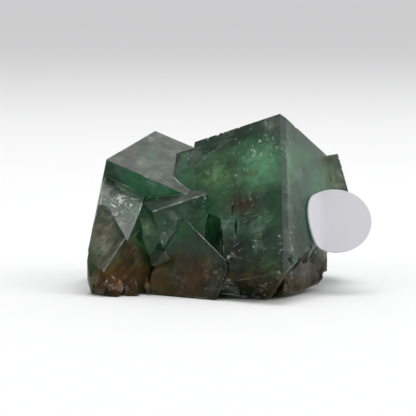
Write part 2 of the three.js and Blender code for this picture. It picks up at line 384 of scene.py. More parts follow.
NAMED_FACES = (
    NamedFace.of_cube(Mark.LOW_TOP, LOW_CUBE, (0.0, 0.0, 1.0)),
    NamedFace.of_cube(Mark.LOW_FRONT, LOW_CUBE, (0.0, -1.0, 0.0)),
    NamedFace.of_cube(Mark.RIGHT_SIDE, TALL_CUBE, (1.0, 0.0, 0.0)),
    NamedFace.of_cube(Mark.CORNER_BAND, TALL_CUBE, (1.0, -0.12, 0.0)),
    NamedFace.of_cube(Mark.MIDDLE_TOP, MIDDLE_CUBE, (0.0, 0.0, 1.0)),
    NamedFace.of_cube(Mark.MIDDLE_FRONT, MIDDLE_CUBE, (0.0, -1.0, 0.0)),
    NamedFace.of_points(Mark.SILVER_FACET, SILVER_LEFT, SILVER_TIP, SILVER_RIGHT),
    NamedFace.of_points(Mark.SMOKY_FACET, SMOKY_TOP, RIDGE_FOOT, RIDGE_TOP),
    NamedFace.of_points(Mark.BROWN_FACET, RIDGE_TOP, RIDGE_FOOT, BROWN_FOOT),
    NamedFace.of_points(Mark.FRONT_FACET, FRONT_TOP, FRONT_LEFT, FRONT_RIGHT),
)


@dataclass(frozen=True)
class FrontView:
    """The frame that the cluster is measured in, found again from its highest corner."""

    apex: Vector

    def to_row(self) -> Matrix:
        """From front-view millimetres to the row frame in metres."""
        stand = Matrix.Rotation(-VIEW_DROP, 4, "X") @ Matrix.Scale(MM, 4)
        return Matrix.Translation(self.apex - stand @ (TALL_CUBE.frame() @ Vector(TOP_CORNER))) @ stand

    def from_row(self) -> Matrix:
        """From the row frame in metres to front-view millimetres."""
        return self.to_row().inverted()


@dataclass(frozen=True)
class Zone:
    """A soft patch of colour on the crystal, in front-view millimetres."""

    name: str
    centre: Triple
    radii: Triple
    colour: Triple
    cloud: float
    share: float = 1.0


@dataclass(frozen=True)
class FaceTint:
    """A named face's own colour and how much of it shows."""

    mark: Mark
    colour: Triple
    share: float


@dataclass(frozen=True)
class Drift:
    """A cloud pattern that pushes coordinates about."""

    scale: float
    detail: float
    reach: float

    def of(self, graph: Graph, place: Value) -> Value:
        """Pushes coordinates about.

        Args:
            graph: The material's node tree.
            place: The coordinates in millimetres.

        Returns:
            The new coordinates.
        """
        pattern = graph.noise(place, self.scale, self.detail, "Color")
        push = graph.vector("SUBTRACT", pattern, (MIDDLE_LEVEL,) * 3)
        return graph.vector("ADD", place, graph.vector("MULTIPLY", push, (self.reach,) * 3))


@dataclass(frozen=True)
class Clouds:
    """A cloud pattern, cut by a smooth step between two levels."""

    scale: float
    detail: float
    low: float
    high: float

    def at(self, graph: Graph, place: Value) -> Value:
        """The stepped pattern."""
        return graph.ramp(graph.noise(place, self.scale, self.detail), self.low, self.high)


@dataclass(frozen=True)
class Veins:
    """Thin lines along which a cloud pattern passes its middle level."""

    scale: float
    detail: float
    width: float

    def at(self, graph: Graph, place: Value) -> Value:
        """1 on the lines."""
        return graph.near(graph.noise(place, self.scale, self.detail) - MIDDLE_LEVEL, self.width)


@dataclass(frozen=True)
class Swell:
    """A cloud pattern with a height in millimetres."""

    scale: float
    detail: float
    height: float

    def at(self, graph: Graph, place: Value) -> Value:
        """The pattern's height."""
        return graph.noise(place, self.scale, self.detail) * self.height


@dataclass(frozen=True)
class Flakes:
    """Ragged cells of broken crystal, each with a plane that tilts its own way."""

    drift: Drift
    scale: float
    tilt: float = 0.0

    def cells(self, graph: Graph, place: Value) -> tuple[Value, Value, Value]:
        """Cuts space into cells.

        Args:
            graph: The material's node tree.
            place: The coordinates in millimetres.

        Returns:
            How far each place is from its cell's middle, in cells, a number of the cell's own, and the
            height of a plane through the cell's middle that tilts its own way.
        """
        ragged = self.drift.of(graph, place)
        near = graph.node("ShaderNodeTexVoronoi", {}, {"Vector": ragged, "Scale": self.scale})
        own = near.other("Color")
        tilt = graph.vector("SUBTRACT", own, (MIDDLE_LEVEL,) * 3)
        offset = graph.vector("SUBTRACT", ragged, near.other("Position"))
        plane = graph.vector("DOT_PRODUCT", offset, tilt, "Value")
        return near, graph.node("ShaderNodeSeparateColor", {}, {0: own}), plane

    def at(self, graph: Graph, place: Value) -> Value:
        """The planes' height."""
        return self.cells(graph, place)[2] * self.tilt


@dataclass(frozen=True)
class Ground:
    """What the crystal's patterns are laid over: places in millimetres and the mesh's marks."""

    graph: Graph
    place: Value
    drifted: Value
    tall: Value
    marks: dict[Mark, Value]


GLOW = Zone("glow of the tall cube", (9.2, -2.5, 20.0), (7.5, 9.0, 7.2), (0.145, 0.365, 0.195), 0.72)


@dataclass(frozen=True)
class FluoriteFinish:
    """See-through green crystal with cloudy zones and a brown foot."""

    # Refraction, absorption, tints of the clear share, and gloss
    index: float = 1.434
    absorb_colour: Triple = (0.27, 0.66, 0.42)
    absorb_density: float = 240.0
    clear_tint: Triple = (0.90, 0.97, 0.93)
    clear_foot: Triple = (0.85, 0.56, 0.22)
    clear_rough: float = 0.3
    rough: float = 0.12
    grown_rough: float = 0.10
    satin_rough: float = 0.08
    silver_rough: float = 0.15
    cloudy_rough: float = 0.1
    cloudy_gloss: float = 0.38
    stained_rough: float = 0.25
    stained_gloss: float = 0.1

    # Colours
    deep: Triple = (0.010, 0.024, 0.015)
    green: Triple = (0.040, 0.105, 0.055)
    brown: Triple = (0.045, 0.028, 0.009)
    # White of flaws and wear, also used for painted glints, sheen and edge highlights
    frost_and_glint_white: Triple = (0.52, 0.56, 0.53)
    faces_under: tuple[FaceTint, ...] = (
        FaceTint(Mark.RIGHT_SIDE, (0.056, 0.114, 0.078), 1.0),
        FaceTint(Mark.LOW_FRONT, (0.012, 0.095, 0.045), 1.0),
    )
    faces_over: tuple[FaceTint, ...] = (
        FaceTint(Mark.CORNER_BAND, (0.024, 0.042, 0.032), 0.8),
        FaceTint(Mark.MIDDLE_FRONT, (0.014, 0.042, 0.018), 0.8),
        FaceTint(Mark.SMOKY_FACET, (0.115, 0.105, 0.068), 0.7),
        FaceTint(Mark.BROWN_FACET, (0.058, 0.029, 0.004), 0.8),
        FaceTint(Mark.SILVER_FACET, (0.085, 0.104, 0.084), 0.5),
        # The low cube's top is grey partly from its frosted face and partly as a painted sheen of the sky
        # above
        FaceTint(Mark.LOW_TOP, (0.095, 0.092, 0.086), 0.9),
        FaceTint(Mark.MIDDLE_TOP, (0.028, 0.038, 0.028), 1.0),
    )
    zones: tuple[Zone, ...] = (
        GLOW,
        Zone("green left of the glow", (1.6, 1.0, 19.0), (5.8, 8.0, 4.8), (0.08, 0.175, 0.062), 0.7),
        # Painted shadow: a dark patch on the tall cube where it meets the low cube
        Zone("painted shadow beside the low cube", (-2.4, 3.0, 22.0), (3.2, 6.0, 3.4), (0.022, 0.034, 0.02), 0.8, 0.9),
        Zone("grey under the top", (10.2, -1.0, 26.6), (4.0, 6.0, 2.6), (0.12, 0.145, 0.12), 0.75, 0.9),
        Zone("yellow wisp", (6.4, -1.0, 18.8), (2.6, 5.0, 1.5), (0.13, 0.15, 0.06), 0.75, 0.75),
        Zone("brown veil", (5.0, -4.0, 15.0), (5.2, 6.5, 3.2), (0.03, 0.02, 0.007), 0.92),
        Zone("emerald below the veil", (8.6, -7.0, 11.2), (2.8, 5.0, 2.2), (0.06, 0.17, 0.08), 0.6, 0.9),
        Zone("dark lower left", (3.6, -8.0, 7.0), (4.8, 8.0, 6.5), (0.005, 0.008, 0.005), 0.95),
        Zone("green foot of the tall cube", (10.0, -11.0, 5.4), (3.2, 5.0, 3.2), (0.045, 0.11, 0.04), 0.7),
        Zone("pale far edge", (20.4, 10.0, 19.0), (3.6, 8.0, 6.0), (0.18, 0.2, 0.13), 0.75, 0.85),
        Zone("brown at the far edge", (19.4, 7.0, 22.0), (2.4, 6.0, 2.6), (0.12, 0.085, 0.04), 0.75, 0.6),
        Zone("grey right foot", (13.6, -6.0, 9.5), (3.6, 6.0, 6.0), (0.016, 0.028, 0.02), 0.75, 0.9),
        Zone("low cube's back brown", (-6.0, 12.0, 23.5), (4.0, 6.0, 3.0), (0.1, 0.07, 0.055), 0.65, 0.8),
        Zone("silver facet", (-13.6, 3.5, 16.0), (4.6, 5.0, 3.0), (0.028, 0.036, 0.028), 0.65, 0.95),
        # Painted sheen: a bright patch in the middle of the silvery facet
        Zone("painted sheen in the silver facet's heart", (-14.4, 3.5, 16.0), (2.2, 4.0, 1.8), (0.34, 0.38, 0.34), 0.85, 0.6),
        Zone("silver facet's border", (-12.0, 1.0, 13.3), (1.7, 3.0, 0.8), (0.24, 0.28, 0.24), 0.85, 0.5),
        Zone("dark end of the strip", (-15.6, 5.0, 20.0), (3.4, 5.0, 2.2), (0.007, 0.018, 0.008), 0.85),
        Zone("pale end of the strip", (-8.6, 3.0, 17.2), (4.4, 5.0, 2.6), (0.15, 0.29, 0.2), 0.75, 0.9),
        Zone("left shard's smoke", (-16.4, 0.0, 9.8), (4.8, 8.0, 6.5), (0.11, 0.1, 0.066), 0.8, 0.9),
        Zone("left shard's green", (-13.4, 0.0, 12.0), (3.4, 5.0, 2.8), (0.075, 0.125, 0.05), 0.75, 0.9),
        Zone("brown facet", (-12.0, -2.5, 6.0), (4.0, 5.0, 5.6), (0.05, 0.03, 0.008), 0.8),
        Zone("amber foot", (-13.6, -4.0, 2.4), (4.6, 6.0, 4.0), (0.072, 0.018, 0.001), 0.85),
        Zone("brown hollow", (-8.6, -3.0, 3.6), (3.4, 5.0, 4.0), (0.115, 0.07, 0.018), 0.8),
        # Painted glow: a bright amber spot low on the foot
        Zone("painted amber glow on the foot", (-14.6, -5.0, 1.6), (1.8, 4.0, 1.3), (0.2, 0.07, 0.006), 0.75, 0.9),
        # Painted highlight: a gold spot on the foot's left corner
        Zone("painted gold highlight on the foot", (-17.4, -4.0, 2.8), (1.4, 4.0, 1.3), (0.22, 0.17, 0.06), 0.75, 0.8),
        # Painted highlight: a white spot on a splinter at the foot's lower edge
        Zone("painted highlight on a splinter of the foot", (-9.4, -4.0, 0.8), (0.9, 4.0, 1.2), (0.3, 0.29, 0.24), 0.75, 0.9),
        Zone("green patch in the hollow", (-8.8, -1.5, 10.6), (2.6, 4.0, 2.2), (0.07, 0.17, 0.065), 0.75),
        Zone("green rim", (-0.6, -3.0, 13.4), (1.5, 3.0, 3.2), (0.05, 0.18, 0.05), 0.6, 0.9),
        Zone("front shard's brown", (-2.0, -7.0, 4.6), (5.4, 6.0, 6.0), (0.06, 0.032, 0.012), 0.8),
        Zone("front shard's olive", (-5.2, -5.0, 5.6), (2.6, 5.0, 3.4), (0.08, 0.058, 0.012), 0.75, 0.85),
        Zone("left foot's gold", (-11.4, -4.0, 4.4), (2.6, 5.0, 3.0), (0.125, 0.062, 0.005), 0.75, 0.9),
        Zone("bright edge's grey", (-1.0, -5.0, 9.4), (2.0, 4.0, 1.6), (0.032, 0.038, 0.024), 0.85, 0.9),
        # Painted shade: a dark patch in the crevice between the front shard and the tall cube
        Zone("painted shade in the hollow", (1.3, -1.5, 9.8), (2.6, 5.5, 4.4), (0.03, 0.04, 0.026), 1.0),
        # Painted shade: darker on the downward faces at the bottom, where they are out of the light
        Zone("painted shade on the underside", (4.0, -8.0, 0.8), (9.0, 8.0, 3.0), (0.014, 0.011, 0.005), 0.92),
        Zone("smoke of the right shard", (15.4, -3.0, 4.6), (4.4, 8.0, 4.6), (0.06, 0.04, 0.018), 0.5),
        Zone("pale tip of the right shard", (18.6, 2.0, 4.6), (2.0, 5.0, 2.6), (0.15, 0.14, 0.1), 0.5, 0.9),
        Zone("glow of the back", (4.0, 13.0, 19.0), (9.0, 8.0, 7.0), (0.09, 0.27, 0.14), 0.7, 0.9),
        Zone("low cube's back glow", (-14.0, 15.0, 15.0), (8.0, 8.0, 7.0), (0.07, 0.22, 0.12), 0.7, 0.9),
        Zone("pale rear cube", (17.0, 17.0, 16.0), (6.0, 7.0, 6.0), (0.11, 0.19, 0.12), 0.65, 0.9),
        Zone("brown back foot", (2.0, 17.0, 3.0), (16.0, 8.0, 5.0), (0.06, 0.036, 0.012), 0.85, 0.9),
    )
    zone_drift: Drift = Drift(0.2, 2.0, 4.0)
    green_scale: float = 0.15

    # How cloudy the crystal is
    cloud: float = 0.5
    foot_cloud: float = 0.2
    solid_cloud: float = 0.2
    white_cloud: float = 0.5
    clear_cloud: float = 0.2
    clearings: Clouds = Clouds(0.35, 2.0, 0.5, 0.7)

    # Where the brown foot and the tall cube's dark upper border lie
    foot_step: Span = (9.0, 2.0)
    rim_rise: Span = (-3.6, -0.4)
    rim_run: Span = (-2.0, -7.0)
    rim_depth: float = 2.0
    rim_share: float = 0.45

    # Mottling, and where it is calm
    soft: Clouds = Clouds(0.45, 3.0, 0.3, 0.7)
    soft_share: float = 0.8
    fine: Clouds = Clouds(1.3, 6.0, 0.3, 0.7)
    fine_drift: Drift = Drift(0.8, 2.0, 1.0)
    fine_share: float = 0.7
    grain: Clouds = Clouds(4.0, 3.0, 0.3, 0.7)
    grain_share: float = 0.3
    flake: Flakes = Flakes(Drift(0.6, 2.0, 1.2), 0.4, 0.22)
    flake_share: float = 0.9
    fibre: Clouds = Clouds(1.0, 3.0, 0.35, 0.65)
    fibre_run: Run = ((0.3, 1.0, 3.0), 36.0)
    fibre_share: float = 1.6
    glow_calm: float = 0.7
    plain_calm: float = 0.5
    plain_flake_calm: float = 0.3
    fringe: Patch = ((15.6, -2.0, 5.4), (5.5, 9.0, 6.0))
    fan: Patch = ((-13.0, -2.0, 6.5), (7.5, 9.0, 9.0))

    # White flaws
    fleck: Clouds = Clouds(1.7, 4.0, 0.60, 0.67)
    fleck_white: float = 0.7
    swarm: Clouds = Clouds(0.3, 2.0, 0.46, 0.62)
    swarm_share: float = 0.7
    flecked: Patch = ((6.5, -1.0, 24.6), (7.0, 8.0, 3.4))
    dust: Clouds = Clouds(3.4, 2.0, 0.60, 0.72)
    dust_drift: Drift = Drift(2.0, 2.0, 0.5)
    dust_white: float = 0.12
    dusty: Clouds = Clouds(0.4, 3.0, 0.45, 0.65)
    scratch: Clouds = Clouds(1.4, 4.0, 0.52, 0.68)
    scratch_run: Run = ((2.5, 1.0, 0.22), 0.0)
    scratch_white: float = 0.6
    scratched: Patch = ((7.0, -6.0, 11.8), (6.5, 8.0, 3.2))
    veil: Veins = Veins(0.5, 5.0, 0.06)
    veil_white: float = 0.16
    veiled: Clouds = Clouds(0.3, 3.0, 0.5, 0.65)
    crack: Veins = Veins(0.55, 3.0, 0.05)
    crack_drift: Drift = Drift(0.5, 3.0, 2.0)
    cracked: Clouds = Clouds(0.5, 2.0, 0.45, 0.6)
    calm_white: float = 0.65

    # Glints and the sheen of cleavage
    glint: Flakes = Flakes(Drift(1.2, 2.0, 1.0), 0.9)
    glint_reach: float = 0.14
    glint_step: Span = (0.08, 0.0)
    glint_share: Span = (0.5, 0.9)
    glint_white: float = 0.9
    glinting: tuple[Patch, ...] = (
        ((-14.0, -4.5, 1.8), (5.5, 6.0, 3.6)),
        ((-8.6, -3.5, 4.2), (2.4, 5.0, 3.0)),
        ((15.0, -4.0, 5.5), (4.0, 6.0, 4.0)),
        ((2.0, 18.0, 3.0), (16.0, 8.0, 4.0)),
    )
    sheen: Clouds = Clouds(1.0, 3.0, 0.5, 0.66)
    sheen_run: Run = ((0.35, 1.0, 3.0), 38.0)
    sheen_white: float = 0.8
    sheens: tuple[Patch, ...] = (
        ((16.2, -2.5, 7.4), (3.4, 6.0, 2.4)),
        ((-15.8, -1.0, 8.6), (2.6, 6.0, 5.0)),
    )

    # Worn edges, and painted highlights along chosen edges
    chipped: Clouds = Clouds(0.7, 3.0, 0.42, 0.7)
    # Edge marks past this step get a painted highlight
    bright_step: Span = (1.2, 1.8)
    painted_highlight_share: float = 0.25
    worn_and_highlit_white: float = 0.7
    edges_left_plain: tuple[Patch, ...] = (
        ((-13.5, -5.0, 0.8), (8.0, 6.0, 4.5)),
        ((4.1, -4.5, 12.2), (2.2, 6.0, 5.0)),
        ((8.0, -11.0, 2.2), (10.0, 9.0, 4.0)),
    )

    # Relief
    chip: Flakes = Flakes(Drift(1.0, 2.0, 0.6), 1.4, 0.06)
    swell: Swell = Swell(0.6, 2.0, 0.035)
    ripple: Swell = Swell(2.2, 4.0, 0.008)
    streak: Swell = Swell(1.0, 4.0, 0.12)
    streak_run: Run = ((0.33, 1.6, 2.0), 25.0)
    silver_patch: Patch = ((-13.8, 2.0, 14.4), (5.0, 6.5, 5.0))
    calm_relief: float = 0.6

    def ground(self, graph: Graph, view: FrontView) -> Ground:
        """Lays out the coordinates and the marks.

        Args:
            graph: The material's node tree.
            view: The frame that the zones are placed in.

        Returns:
            What the patterns are laid over.
        """
        place = graph.placed(view.from_row())
        tall = graph.placed((view.to_row() @ TALL_CUBE.frame()).inverted())
        marks = {mark: graph.mark(mark) for mark in Mark}
        return Ground(graph, place, self.zone_drift.of(graph, place), tall, marks)

    def foot(self, ground: Ground) -> Value:
        """How near to the brown foot a place is."""
        return ground.graph.ramp(ground.graph.parts(ground.drifted)[2], *self.foot_step)

    def calm(self, ground: Ground) -> Value:
        """1 on the broken facets that are smooth."""
        return sum(ground.marks[mark] for mark in (Mark.SMOKY_FACET, Mark.BROWN_FACET, Mark.FRONT_FACET))

    def silvery(self, ground: Ground) -> Value:
        """How near to the left shard's silvery facet a place is."""
        return ground.graph.bulb(ground.place, *self.silver_patch)

    def stain(self, ground: Ground) -> Value:
        """How far the gloss is dulled."""
        dull = self.foot(ground) + self.calm(ground) + ground.marks[Mark.LOW_FRONT]
        return ground.graph.ramp(dull + ground.graph.bulb(ground.place, *self.fringe), 0.0, 1.0)

    def rim(self, ground: Ground) -> Value:
        """Finds the tall cube's dark upper border.

        Args:
            ground: Places and marks.

        Returns:
            How near to it a place is.
        """
        graph = ground.graph
        along, back, up = graph.parts(ground.tall)
        border = graph.ramp(up, *self.rim_rise) * graph.near(back, self.rim_depth)
        return border * graph.ramp(along, *self.rim_run)

    def tinted(self, ground: Ground, colour: Value, tints: tuple[FaceTint, ...]) -> Value:
        """Colours named faces.

        Args:
            ground: Places and marks.
            colour: What shows elsewhere.
            tints: The faces' colours.

        Returns:
            The new colour.
        """
        for tint in tints:
            colour = ground.graph.blend(ground.marks[tint.mark] * tint.share, colour, tint.colour)
        return colour

    def zoned(self, ground: Ground) -> tuple[Value, Value]:
        """Colours the zones and the named faces.

        Args:
            ground: Places and marks.

        Returns:
            The colour, and how cloudy the crystal is.
        """
        graph, marks = ground.graph, ground.marks
        foot = self.foot(ground)
        colour = graph.blend(graph.noise(ground.place, self.green_scale), self.deep, self.green)
        colour = graph.blend(foot, colour, self.brown)
        colour = self.tinted(ground, colour, self.faces_under)
        cloud = graph.ramp(foot, 0.0, 1.0, self.cloud, self.cloud + self.foot_cloud)
        for zone in self.zones:
            patch = graph.bulb(ground.drifted, zone.centre, zone.radii) * zone.share
            colour = graph.blend(patch, colour, zone.colour)
            cloud = cloud + patch * (zone.cloud - cloud)
            LOG.debug("zone: %s", zone.name)
        colour = self.tinted(ground, colour, self.faces_over)
        colour = graph.blend(self.rim(ground) * self.rim_share, colour, self.deep)
        solid = marks[Mark.MIDDLE_TOP] + marks[Mark.MIDDLE_FRONT] + marks[Mark.LOW_TOP]
        return colour, cloud + solid * self.solid_cloud

    def mottled(self, ground: Ground, colour: Value) -> Value:
        """Breaks a colour up into soft clouds, fine grain, flakes and fibres.

        Args:
            ground: Places and marks.
            colour: The zones' colour.

        Returns:
            The mottled colour.
        """
        graph, place = ground.graph, ground.place
        broken = 1 - ground.marks[Mark.GROWN]
        plain = ground.marks[Mark.RIGHT_SIDE] + self.calm(ground)
        glow = graph.bulb(ground.drifted, GLOW.centre, GLOW.radii)
        still = (1 - glow * self.glow_calm) * (1 - plain * self.plain_calm)
        soft = self.soft.at(graph, ground.drifted) - MIDDLE_LEVEL
        fine = self.fine.at(graph, self.fine_drift.of(graph, place)) - MIDDLE_LEVEL
        grain = self.grain.at(graph, place) - MIDDLE_LEVEL
        flake = self.flake.cells(graph, place)[1] - MIDDLE_LEVEL
        fibre = self.fibre.at(graph, graph.stretched(place, *self.fibre_run)) - MIDDLE_LEVEL
        fibre = fibre * graph.bulbs(place, (self.fringe, self.fan))
        colour = graph.shade(colour, 1 + soft * still * self.soft_share)
        colour = graph.shade(colour, 1 + fine * still * self.fine_share)
        colour = graph.shade(colour, 1 + grain * self.grain_share)
        flake = flake * broken * (1 - plain * self.plain_flake_calm)
        colour = graph.shade(colour, 1 + flake * self.flake_share)
        return graph.shade(colour, 1 + fibre * broken * self.fibre_share)

    def flaws(self, ground: Ground) -> Value:
        """Draws veils, flecks, dust, scratches and cracks.

        Args:
            ground: Places and marks.

        Returns:
            How white they are.
        """
        graph, place = ground.graph, ground.place
        swarm = self.swarm.at(graph, place) * self.swarm_share + graph.bulb(place, *self.flecked)
        fleck = self.fleck.at(graph, place) * swarm
        dust = self.dust.at(graph, self.dust_drift.of(graph, place)) * self.dusty.at(graph, place)
        scratch = self.scratch.at(graph, graph.stretched(ground.tall, *self.scratch_run))
        scratch = scratch * graph.bulb(ground.drifted, *self.scratched)
        veil = self.veil.at(graph, ground.drifted) * self.veiled.at(graph, place)
        crack = self.crack.at(graph, self.crack_drift.of(graph, place))
        crack = crack * self.silvery(ground) * self.cracked.at(graph, place)
        fine = veil * self.veil_white + fleck * self.fleck_white + dust * self.dust_white
        return fine + scratch * self.scratch_white + crack

    def glints(self, ground: Ground) -> Value:
        """Draws small glints on the broken foot.

        Args:
            ground: Places and marks.

        Returns:
            How white they are.
        """
        graph = ground.graph
        near, own, _ = self.glint.cells(graph, ground.place)
        spot = graph.ramp(near - own * self.glint_reach, *self.glint_step)
        glint = spot * graph.ramp(own, *self.glint_share)
        return glint * graph.bulbs(ground.place, self.glinting) * (1 - ground.marks[Mark.GROWN])

    def sheened(self, ground: Ground) -> Value:
        """Paints pale streaks of sheen along the cleavage, a painted highlight.

        Args:
            ground: Places and marks.

        Returns:
            How white they are.
        """
        graph, place = ground.graph, ground.place
        sheen = self.sheen.at(graph, graph.stretched(place, *self.sheen_run))
        return sheen * graph.bulbs(place, self.sheens) * (1 - ground.marks[Mark.GROWN])

    def worn_and_highlit(self, ground: Ground) -> Value:
        """Draws chipped edges, whitened partly as wear and partly as painted glints, with a painted
        highlight along chosen lines.

        Args:
            ground: Places and marks.

        Returns:
            How white they are.
        """
        graph, place, edge = ground.graph, ground.place, ground.marks[Mark.EDGE]
        # A painted highlight on the bevels along the chosen lines
        painted_highlight = graph.ramp(edge, *self.bright_step)
        worn_and_highlit = graph.ramp(edge, 0.0, 1.0) * (self.chipped.at(graph, place) + painted_highlight * self.painted_highlight_share)
        return worn_and_highlit * (1 - graph.bulbs(place, self.edges_left_plain))

    def flaws_wear_and_painted_glints(self, ground: Ground) -> Value:
        """Gathers all that is white: real flaws and worn edges, and painted glints, sheen and edge
        highlights.

        Args:
            ground: Places and marks.

        Returns:
            How white each place is.
        """
        busy = 1 - self.calm(ground) * self.calm_white
        inner = self.flaws(ground) * busy + self.sheened(ground) * busy * self.sheen_white
        return self.worn_and_highlit(ground) * self.worn_and_highlit_white + inner + self.glints(ground) * self.glint_white

    def relief(self, ground: Ground) -> Value:
        """Tilts flakes on the broken faces and ripples all of them.

        Args:
            ground: Places and marks.

        Returns:
            The bumped normal.
        """
        graph, place = ground.graph, ground.place
        broken = (1 - ground.marks[Mark.GROWN]) * (1 - self.calm(ground) * self.calm_relief)
        height = (self.flake.at(graph, place) + self.chip.at(graph, place)) * broken
        height = height + self.swell.at(graph, place) + self.ripple.at(graph, place)
        streak = self.streak.at(graph, graph.stretched(place, *self.streak_run))
        height = height + streak * self.silvery(ground)
        return graph.bumped(height, 1.0, MM)

    def roughness(self, ground: Ground) -> Value:
        """Roughens the grown faces, the low cube's satin top and the silvery facet.

        Args:
            ground: Places and marks.

        Returns:
            How rough each place is.
        """
        marks = ground.marks
        rough = self.rough + marks[Mark.GROWN] * self.grown_rough + marks[Mark.LOW_TOP] * self.satin_rough
        return rough + self.silvery(ground) * self.silver_rough

    def material(self, view: FrontView) -> bpy.types.Material:
        """Makes the crystal's material.

        Args:
            view: The frame that the zones are placed in.

        Returns:
            The material.
        """
        made, graph = empty_material("green_fluorite")
        ground = self.ground(graph, view)
        zones, cloud = self.zoned(ground)
        # White of real flaws and wear, with painted glints, sheen and edge highlights
        white = self.flaws_wear_and_painted_glints(ground)
        colour = graph.blend(white, self.mottled(ground, zones), self.frost_and_glint_white)
        cloud = cloud - self.clearings.at(graph, ground.place) * self.clear_cloud + white * self.white_cloud
        rough = self.roughness(ground)
        shared = {"IOR": self.index, "Normal": self.relief(ground)}
        glossy = {**shared, "Specular IOR Level": self.cloudy_gloss}
        dull = {**shared, "Specular IOR Level": self.stained_gloss}
        tint = graph.blend(self.foot(ground), self.clear_tint, self.clear_foot)
        clear = graph.principled(tint, self.clear_rough, {**shared, "Transmission Weight": 1.0})
        cloudy = graph.principled(colour, rough + self.cloudy_rough, glossy)
        stained = graph.principled(colour, rough + self.stained_rough, dull)
        body = graph.node("ShaderNodeMixShader", {}, {0: self.stain(ground), 1: cloudy, 2: stained})
        surface = graph.node("ShaderNodeMixShader", {}, {0: cloud, 1: clear, 2: body})
        absorb = {"Color": self.absorb_colour, "Density": self.absorb_density}
        volume = graph.node("ShaderNodeVolumeAbsorption", {}, absorb)
        graph.node("ShaderNodeOutputMaterial", {}, {"Surface": surface, "Volume": volume})
        return made


@dataclass(frozen=True)
class PaperFinish:
    """Matt white label paper."""

    white: Triple = (0.74, 0.73, 0.77)
    shade: Triple = (0.66, 0.65, 0.69)
    rough: float = 0.7
    fibre_scale: float = 6.0
    fibre_detail: float = 4.0
    fibre_height: float = 0.05 * MM
    fibre_bump: float = 0.2

    def material(self) -> bpy.types.Material:
        """Makes the paper's material.

        Returns:
            The material.
        """
        made, graph = empty_material("white_paper")
        fibres = graph.noise(graph.placed(Matrix.Scale(1 / MM, 4)), self.fibre_scale, self.fibre_detail)
        normal = graph.bumped(fibres, self.fibre_bump, self.fibre_height)
        paper = graph.principled(graph.blend(fibres, self.white, self.shade), self.rough, {"Normal": normal})
        graph.node("ShaderNodeOutputMaterial", {}, {"Surface": paper})
        return made


def mesh_object(name: str, mesh: bmesh.types.BMesh, finish: bpy.types.Material) -> bpy.types.Object:
    """Makes an object at the origin.

    Args:
        name: The piece's name.
        mesh: Its shape in the row frame, freed here.
        finish: Its material.

    Returns:
        The object.
    """
    data = bpy.data.meshes.new(name)
    mesh.to_mesh(data)
    mesh.free()
    data.materials.append(finish)
    made = bpy.data.objects.new(name, data)
    bpy.context.scene.collection.objects.link(made)
    LOG.info("%s: %d faces", name, len(data.polygons))
    return made


@dataclass(frozen=True)
class Line:
    """A straight edge whose bevel gets a painted highlight, in front-view millimetres."""

    start: Triple
    end: Triple
    slack: float = 0.35
    overrun: float = 0.1

    def holds(self, *places: Vector) -> bool:
        """Tells whether every place lies on the line.

        Args:
            places: The places in front-view millimetres.

        Returns:
            True where none is off the line or past its ends.
        """
        start, end = Vector(self.start), Vector(self.end)
        feet = [geometry.intersect_point_line(place, start, end) for place in places]
        gaps = [(place - foot).length for place, (foot, _) in zip(places, feet)]
        within = all(-self.overrun < share < 1 + self.overrun for _, share in feet)
        return within and max(gaps) < self.slack


PAINTED_HIGHLIGHT_LINES = (
    Line(FRONT_TOP, FRONT_EDGE_END),
    Line(RIDGE_TOP, RIDGE_FOOT),
    Line(SILVER_LEFT, SILVER_RIGHT),
    Line(SILVER_LEFT, SMOKY_TOP),
    Line(SILVER_RIGHT, SILVER_TIP),
    Line(MIDDLE_TOP_LEFT, MIDDLE_CUBE.corner),
)


